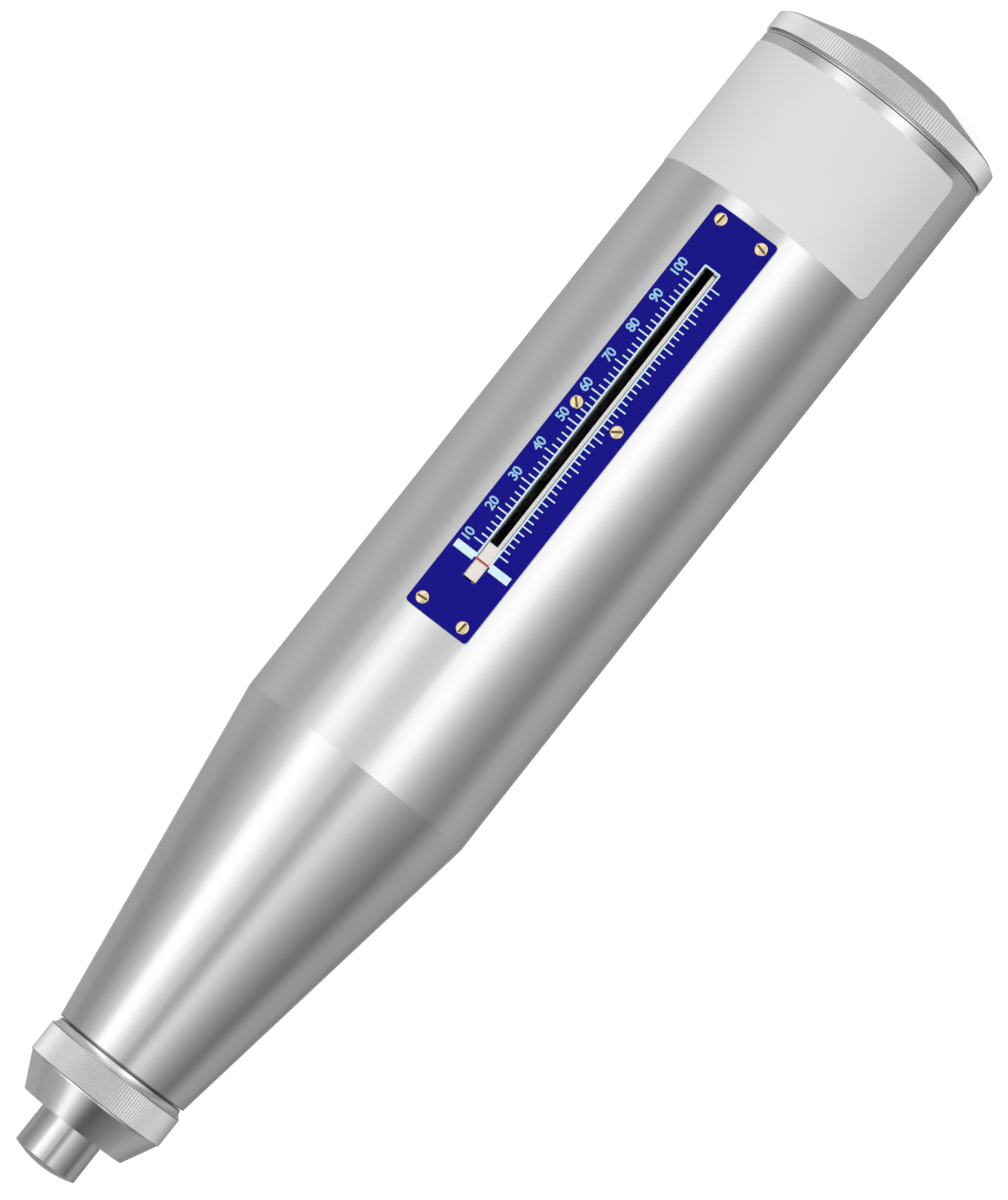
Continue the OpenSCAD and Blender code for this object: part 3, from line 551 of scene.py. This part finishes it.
def knurled_aluminium(node, tooth, low, high, shade, lines):
    """Bright aluminium with a matter knurl between two heights, its teeth tooth deep. shade is the
    grey painted between the teeth as shade. lines are painted shade lines along its edges: from,
    to and grey."""
    plain_rough, knurl_rough, ring_rough = 0.2, 0.22, 0.08
    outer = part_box(node)[1].x
    finish = Finish("knurled_" + node, (0.84, 0.84, 0.84), 1.0, 0.25)
    rings = finish.group(TURNED, Rings_per_metre=9000.0, Blotch_size=0.004)
    clean = finish.tint(rings.outputs["Tone"], (0.82, 0.82, 0.82), (0.92, 0.92, 0.92))
    # Painted shade between the knurl's teeth
    valley = finish.group(RECESS_SHADE, Outer_radius=outer, Depth=tooth, From_height=low,
                          To_height=high)
    color = finish.tint(valley.outputs["Shade"], clean, (shade, shade, shade))
    # Painted shade lines along the knurl's edges
    for start, end, dark in lines:
        edge = finish.group(RECESS_SHADE, **WHOLE_ZONE, From_height=start, To_height=end)
        color = finish.tint(edge.outputs["Shade"], color, (dark, dark, dark))
    rough = math_node(finish.tree, "MULTIPLY_ADD", valley.outputs["Zone"], knurl_rough,
                      plain_rough)
    rough = math_node(finish.tree, "MULTIPLY_ADD", rings.outputs["Tone"], ring_rough, rough)
    finish.tree.links.new(rough, finish.shader.inputs["Roughness"])
    finish.bump(rings.outputs["Height"], 0.004 * MM, 0.5)
    return finish.material


def bright_rod():
    """The guide rod, bright through the slot."""
    finish = Finish("bright_rod", (0.92, 0.90, 0.88), 1.0, 0.2)
    rings = finish.group(TURNED, Rings_per_metre=3000.0, Blotch_size=0.006)
    finish.tint(rings.outputs["Tone"], (0.86, 0.84, 0.82), (0.96, 0.94, 0.92))
    finish.spread(rings.outputs["Tone"], 0.16, 0.26, "Roughness")
    finish.bump(rings.outputs["Height"], 0.002 * MM, 0.4)
    return finish.material


def polished_steel():
    """Ground steel of the plunger and the guide bar."""
    finish = Finish("polished_steel", (0.72, 0.72, 0.72), 1.0, 0.1)
    rings = finish.group(TURNED, Rings_per_metre=7000.0, Blotch_size=0.01)
    finish.tint(rings.outputs["Tone"], (0.68, 0.68, 0.68), (0.76, 0.76, 0.76))
    finish.spread(rings.outputs["Tone"], 0.07, 0.13, "Roughness")
    finish.bump(rings.outputs["Height"], 0.002 * MM, 0.4)
    return finish.material


def dark_steel():
    """Turned, lightly oiled steel of the mechanism and the push button."""
    finish = Finish("dark_steel", (0.30, 0.30, 0.31), 1.0, 0.38)
    rings = finish.group(TURNED, Rings_per_metre=3500.0, Blotch_size=0.012)
    finish.tint(rings.outputs["Tone"], (0.24, 0.24, 0.25), (0.38, 0.38, 0.39))
    finish.spread(rings.outputs["Tone"], 0.3, 0.46, "Roughness")
    finish.bump(rings.outputs["Height"], 0.004 * MM, 0.5)
    return finish.material


def spring_steel():
    """Drawn wire of the springs."""
    finish = Finish("spring_steel", (0.42, 0.42, 0.44), 1.0, 0.3)
    grain = finish.group(GRAIN, Grains_per_metre=2500.0)
    finish.tint(grain.outputs["Tone"], (0.34, 0.34, 0.36), (0.52, 0.52, 0.54))
    finish.spread(grain.outputs["Tone"], 0.24, 0.38, "Roughness")
    finish.bump(grain.outputs["Height"], 0.004 * MM, 0.4)
    return finish.material


def brass(name, dark, bright, rings_per_metre):
    """Turned brass between a dark and a bright tone."""
    finish = Finish(name, bright, 1.0, 0.28)
    rings = finish.group(TURNED, Rings_per_metre=rings_per_metre, Blotch_size=0.003)
    finish.tint(rings.outputs["Tone"], dark, bright)
    finish.spread(rings.outputs["Tone"], 0.2, 0.36, "Roughness")
    finish.bump(rings.outputs["Height"], 0.003 * MM, 0.4)
    return finish.material


def plate_blue():
    """Blue lacquer on the plate's face, down to a small depth, and bare metal under it."""
    lacquer_depth = 0.08 * MM
    finish = Finish("plate_blue", (0.012, 0.008, 0.30), 0.0, 0.32)
    grain = finish.group(GRAIN, Grains_per_metre=1800.0)
    blue = finish.tint(grain.outputs["Tone"], (0.004, 0.002, 0.22), (0.007, 0.004, 0.26))
    face = math_node(finish.tree, "LESS_THAN", finish.object_axis("Y"),
                     PLATE_LOW.y + lacquer_depth)
    finish.tint(face, (0.8, 0.8, 0.8), blue)
    finish.tree.links.new(math_node(finish.tree, "SUBTRACT", 1.0, face),
                          finish.shader.inputs["Metallic"])
    finish.shader.inputs["Specular IOR Level"].default_value = 0.1
    finish.bump(grain.outputs["Height"], 0.002 * MM, 0.3)
    return finish.material


def scale_ink(name, dark, light):
    """Ink of the scale between a dark and a light tone."""
    finish = Finish(name, light, 0.0, 0.55)
    grain = finish.group(GRAIN, Grains_per_metre=6000.0)
    finish.tint(grain.outputs["Tone"], dark, light)
    finish.spread(grain.outputs["Tone"], 0.5, 0.65, "Roughness")
    finish.bump(grain.outputs["Height"], 0.003 * MM, 0.3)
    return finish.material


def index_white():
    """The off-white index."""
    finish = Finish("index_white", (0.83, 0.80, 0.74), 0.0, 0.45)
    grain = finish.group(GRAIN, Grains_per_metre=3500.0)
    finish.tint(grain.outputs["Tone"], (0.76, 0.72, 0.66), (0.86, 0.83, 0.78))
    finish.spread(grain.outputs["Tone"], 0.4, 0.55, "Roughness")
    finish.bump(grain.outputs["Height"], 0.004 * MM, 0.3)
    return finish.material


def index_red():
    """Red ink of the index's line, a little uneven."""
    finish = Finish("index_red", (0.5, 0.06, 0.06), 0.0, 0.5)
    grain = finish.group(GRAIN, Grains_per_metre=5000.0)
    finish.tint(grain.outputs["Tone"], (0.36, 0.03, 0.035), (0.60, 0.10, 0.10))
    finish.bump(grain.outputs["Height"], 0.003 * MM, 0.3)
    return finish.material


def slot_grime():
    """Painted shade: dark brass for the bottom of the screws' slots."""
    finish = Finish("slot_grime", (0.16, 0.10, 0.04), 0.3, 0.6)
    grain = finish.group(GRAIN, Grains_per_metre=8000.0)
    finish.tint(grain.outputs["Tone"], (0.08, 0.05, 0.02), (0.26, 0.17, 0.07))
    finish.bump(grain.outputs["Height"], 0.004 * MM, 0.4)
    return finish.material


def label_grey():
    """The pale sticker round the tube."""
    finish = Finish("label_grey", (0.77, 0.77, 0.77), 0.0, 0.42)
    grain = finish.group(GRAIN, Grains_per_metre=1400.0)
    finish.tint(grain.outputs["Tone"], (0.735, 0.735, 0.735), (0.795, 0.795, 0.795))
    finish.spread(grain.outputs["Tone"], 0.38, 0.5, "Roughness")
    finish.bump(grain.outputs["Height"], 0.003 * MM, 0.25)
    return finish.material


def felt():
    """Pressed felt of the washer."""
    finish = Finish("felt", (0.62, 0.60, 0.54), 0.0, 0.9)
    grain = finish.group(GRAIN, Grains_per_metre=2600.0)
    finish.tint(grain.outputs["Height"], (0.45, 0.43, 0.38), (0.72, 0.70, 0.64))
    finish.bump(grain.outputs["Height"], 0.08 * MM, 0.8)
    finish.shader.inputs["Sheen Weight"].default_value = 0.3
    return finish.material


FINISHES = {
    "satin_aluminium": satin_aluminium(),
    "polished_steel": polished_steel(),
    "dark_steel": dark_steel(),
    "spring_steel": spring_steel(),
    "sleeve_brass": brass("sleeve_brass", (0.55, 0.38, 0.14), (0.74, 0.54, 0.24), 4500.0),
    "screw_brass": brass("screw_brass", (0.80, 0.66, 0.38), (0.95, 0.84, 0.58), 9000.0),
    "plate_blue": plate_blue(),
    "index_white": index_white(),
    "label_grey": label_grey(),
    "felt": felt(),
}
NODE_FINISHES = {
    # shade and lines are painted shade, between the teeth and along the knurls' edges
    "rear_cover": knurled_aluminium(
        "rear_cover", tooth=0.36 * MM, low=5.1 * MM, high=9.65 * MM, shade=0.72,
        lines=((9.65 * MM, 9.87 * MM, 0.3),)),
    "front_cap": knurled_aluminium(
        "front_cap", tooth=0.31 * MM, low=255.4 * MM, high=262.0 * MM, shade=0.82,
        lines=((255.2 * MM, 255.45 * MM, 0.5), (261.88 * MM, 262.06 * MM, 0.3))),
    "guide_rod": bright_rod(),
}
INK_WHITE = scale_ink("scale_ink", (0.60, 0.82, 0.90), (0.74, 0.92, 0.97))
INK_BLUE = scale_ink("number_ink", (0.24, 0.52, 0.74), (0.38, 0.66, 0.86))
INK_RED = index_red()
# Painted shade for the bottom of the screws' slots
SLOT_PAINTED_SHADE = slot_grime()


def dress_nodes():
    """Gives each carried-over node its own finish, or the one that the record names for it."""
    for part in frame["record"]["subparts"]:
        node = part["node"]
        obj = frame["nodes"][node]
        obj.data.materials.clear()
        obj.data.materials.append(NODE_FINISHES.get(node) or FINISHES[part["material_slot"]])


# Printing on the plate

def select_lower_corners(patch, z0):
    """Selects the two lower edges that run through the thickness of a patch in edit mode."""
    bpy.ops.mesh.select_mode(type="EDGE")
    bpy.ops.mesh.select_all(action="DESELECT")
    mesh = bmesh.from_edit_mesh(patch.data)
    for edge in mesh.edges:
        first, second = (vertex.co for vertex in edge.verts)
        edge.select_set(abs(first.y - second.y) > INK / 2 and max(first.z, second.z) < z0 + INK)
    bmesh.update_edit_mesh(patch.data)


def printed_patch(name, x0, x1, z0, z1, face_y, turn=0):
    """A patch of ink lying on a face that looks towards -Y, with its outer edges rounded off.
    turn is the radius of its two lower corners."""
    bpy.ops.mesh.primitive_cube_add(size=1, location=(0, 0, 0))
    patch = bpy.context.object
    patch.name = name
    bpy.ops.object.mode_set(mode="EDIT")
    bpy.ops.mesh.select_all(action="SELECT")
    bpy.ops.transform.resize(value=(x1 - x0, INK, z1 - z0))
    bpy.ops.transform.translate(value=((x0 + x1) / 2, face_y - INK / 2, (z0 + z1) / 2))
    if turn:
        select_lower_corners(patch, z0)
        bpy.ops.mesh.bevel(offset=turn, segments=4, affect="EDGES")
        bpy.ops.mesh.select_all(action="SELECT")
    bpy.ops.mesh.bevel(offset=INK_EDGE, segments=1, affect="EDGES")
    bpy.ops.object.mode_set(mode="OBJECT")
    patch.select_set(False)
    return patch


def copied(patch, shift):
    """A copy of a patch with its own mesh, moved by shift."""
    twin = patch.copy()
    twin.data = patch.data.copy()
    twin.data.transform(Matrix.Translation(shift))
    bpy.context.scene.collection.objects.link(twin)
    return twin


def joined(name, pieces, material, body):
    """Joins pieces into one object with one material, riding on a body."""
    bpy.ops.object.select_all(action="DESELECT")
    for piece in pieces:
        piece.select_set(True)
    bpy.context.view_layer.objects.active = pieces[0]
    if len(pieces) > 1:
        bpy.ops.object.join()
    whole = bpy.context.object
    whole.name = name
    whole.data.name = name
    whole.data.materials.clear()
    whole.data.materials.append(material)
    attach(whole, body)
    bpy.ops.object.select_all(action="DESELECT")


def reading_z(reading):
    """Height of a reading's mark."""
    return SLOT_TOP - UNIT * reading


def make_ticks():
    """Short marks every two units and long ones every ten, on both sides of the slot."""
    first_z = reading_z(FIRST_READING)
    pieces = []
    for side in (-1, 1):
        for step, out in ((MINOR_STEP, MINOR_OUT[side]), (MAJOR_STEP, MAJOR_OUT[side])):
            left, right = sorted((side * TICK_START, side * out))
            mark = printed_patch("tick", left, right, first_z - TICK_WIDTH / 2,
                                 first_z + TICK_WIDTH / 2, PLATE_LOW.y)
            for reading in range(FIRST_READING, LAST_READING + 1, step):
                if step == MAJOR_STEP or reading % MAJOR_STEP:
                    pieces.append(copied(mark, (0, 0, reading_z(reading) - first_z)))
            bpy.data.objects.remove(mark)
    joined("scale_ticks", pieces, INK_WHITE, "root")


def make_borders():
    """Thin frame round the slot and the two broad bars beside the index."""
    face = PLATE_LOW.y
    out = SLOT_HALF + BORDER
    pieces = [
        printed_patch("border_left", -out, -SLOT_HALF, SLOT_BOTTOM, BAR_Z, face),
        printed_patch("border_right", SLOT_HALF, out, SLOT_BOTTOM, BAR_Z, face),
        printed_patch("border_end", -out, out, SLOT_BOTTOM - BORDER, SLOT_BOTTOM, face,
                      turn=BORDER_TURN),
    ]
    joined("slot_border", pieces, INK_WHITE, "root")
    bars = []
    for side in (-1, 1):
        left, right = sorted((side * out, side * BAR_OUT))
        bars.append(printed_patch("zero_bar", left, right, BAR_Z - BAR_HEIGHT / 2,
                                  BAR_Z + BAR_HEIGHT / 2, face))
    joined("zero_bars", bars, INK_WHITE, "root")


def make_numbers():
    """Tens from 10 to 100 beside the long marks, read along the tube, their feet to the slot."""
    stand = Matrix(((0, 1, 0), (0, 0, -1), (-1, 0, 0))).to_4x4()
    pieces = []
    for reading in range(FIRST_READING, LAST_READING + 1, MAJOR_STEP):
        bpy.ops.object.text_add(location=(0, 0, 0))
        text = bpy.context.object
        text.data.body = str(reading)
        text.data.align_x = "CENTER"
        text.data.align_y = "CENTER"
        text.data.size = DIGIT_HEIGHT / DIGIT_SHARE
        text.data.space_character = DIGIT_SPACING
        text.data.offset = DIGIT_SWELL
        text.data.extrude = INK / 2
        bpy.ops.object.convert(target="MESH")
        number = bpy.context.object
        corners = [v.co.copy() for v in number.data.vertices]
        middle = [(min(c[i] for c in corners) + max(c[i] for c in corners)) / 2 for i in (0, 1)]
        number.data.transform(Matrix.Translation((-middle[0], -middle[1], 0)))
        number.data.transform(stand)
        number.data.transform(Matrix.Translation(
            (DIGIT_X, PLATE_LOW.y - INK / 2, reading_z(reading))))
        pieces.append(number)
        number.select_set(False)
    joined("scale_numbers", pieces, INK_BLUE, "root")


def make_slot_shades():
    """Painted shade: a dark brass patch at the bottom of each screw's slot."""
    pieces = []
    for side in (-1, 1):
        for row, z in enumerate(SCREW_ROWS):
            shade = printed_patch("shade", -SHADE_PATCH_LENGTH / 2, SHADE_PATCH_LENGTH / 2,
                                  -SHADE_PATCH_WIDTH / 2, SHADE_PATCH_WIDTH / 2, SHADE_PATCH_Y)
            angle = math.radians(SCREW_TURN + SCREW_TURN_STEP * (side + row))
            shade.data.transform(Matrix.Rotation(-angle, 4, "Y"))
            shade.data.transform(Matrix.Translation((side * SCREW_X, 0, z)))
            pieces.append(shade)
    joined("slot_shades", pieces, SLOT_PAINTED_SHADE, "root")


def make_index_line():
    """Red line across the index."""
    line = printed_patch("index_line", INDEX_LOW.x + LINE_INSET, INDEX_HIGH.x - LINE_INSET,
                         BAR_Z - LINE_HEIGHT / 2, BAR_Z + LINE_HEIGHT / 2, INDEX_LOW.y)
    joined("index_line", [line], INK_RED, "rider")


# Springs

def turn_about_x():
    """Turns what is selected in edit mode by 90 degrees about the X axis."""
    bpy.ops.transform.rotate(value=math.pi / 2, orient_axis="X", center_override=(0, 0, 0))


def make_coil(name, node, wire, turns, axis, bodies):
    """A coil of round wire along an axis, in the place of a CAD spring. With one body in bodies
    the coil rides on it; with more, it stays where it is."""
    low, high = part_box(node)
    middle = (low + high) / 2
    along = "XYZ".index(axis)
    radius = (high.x - low.x - wire) / 2
    rise = high[along] - low[along] - wire
    bpy.ops.mesh.primitive_circle_add(vertices=WIRE_SIDES, radius=wire / 2,
                                      fill_type="NOTHING", location=(0, 0, 0))
    coil = bpy.context.object
    coil.name = name
    bpy.ops.object.mode_set(mode="EDIT")
    turn_about_x()
    bpy.ops.transform.translate(value=(radius, 0, -rise / 2))
    bpy.ops.object.mode_set(mode="OBJECT")
    bpy.ops.object.modifier_add(type="SCREW")
    screw = coil.modifiers[0]
    screw.axis = "Z"
    screw.angle = 2 * math.pi
    screw.screw_offset = rise / turns
    screw.iterations = turns
    screw.steps = screw.render_steps = TURN_STEPS
    bpy.ops.object.modifier_apply(modifier=screw.name)
    bpy.ops.object.mode_set(mode="EDIT")
    bpy.ops.mesh.select_all(action="SELECT")
    bpy.ops.mesh.fill_holes(sides=WIRE_SIDES)
    bpy.ops.mesh.select_all(action="SELECT")
    bpy.ops.mesh.normals_make_consistent(inside=False)
    if axis == "Y":
        turn_about_x()
    bpy.ops.transform.translate(value=middle)
    bpy.ops.object.mode_set(mode="OBJECT")
    bpy.ops.object.shade_smooth_by_angle(angle=math.radians(40))
    coil.data.name = name
    coil.data.materials.append(FINISHES["spring_steel"])
    if len(bodies) == 1:
        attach(coil, bodies[0])
    else:
        start, end = middle.copy(), middle.copy()
        start[along], end[along] = low[along], high[along]
        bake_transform(coil)
    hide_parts(node)
    bpy.ops.object.select_all(action="DESELECT")
    return coil


def make_springs():
    """The five springs of round wire."""
    make_coil("large_coil", "compression_spring", wire=1.8 * MM, turns=6, axis="Z",
              bodies=("root", "carriage"))
    make_coil("impact_coil", "impact_spring", wire=2.0 * MM, turns=24, axis="Z",
              bodies=("hammer", "root"))
    make_coil("retaining_coil", "retaining_spring", wire=1.0 * MM, turns=5, axis="Z",
              bodies=("carriage",))
    make_coil("button_coil", "button_spring", wire=0.3 * MM, turns=1, axis="Y",
              bodies=("root", "button"))
    pawl_coil = make_coil("pawl_coil", "pawl_spring", wire=0.5 * MM, turns=2, axis="Z",
                          bodies=("carriage",))
    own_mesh(pawl_coil)


make_camera()
make_lights()
make_reflector()
make_world()
make_floor()
dress_nodes()
make_ticks()
make_borders()
make_numbers()
make_index_line()
make_slot_shades()
make_springs()

bpy.context.scene.view_settings.view_transform = "Standard"
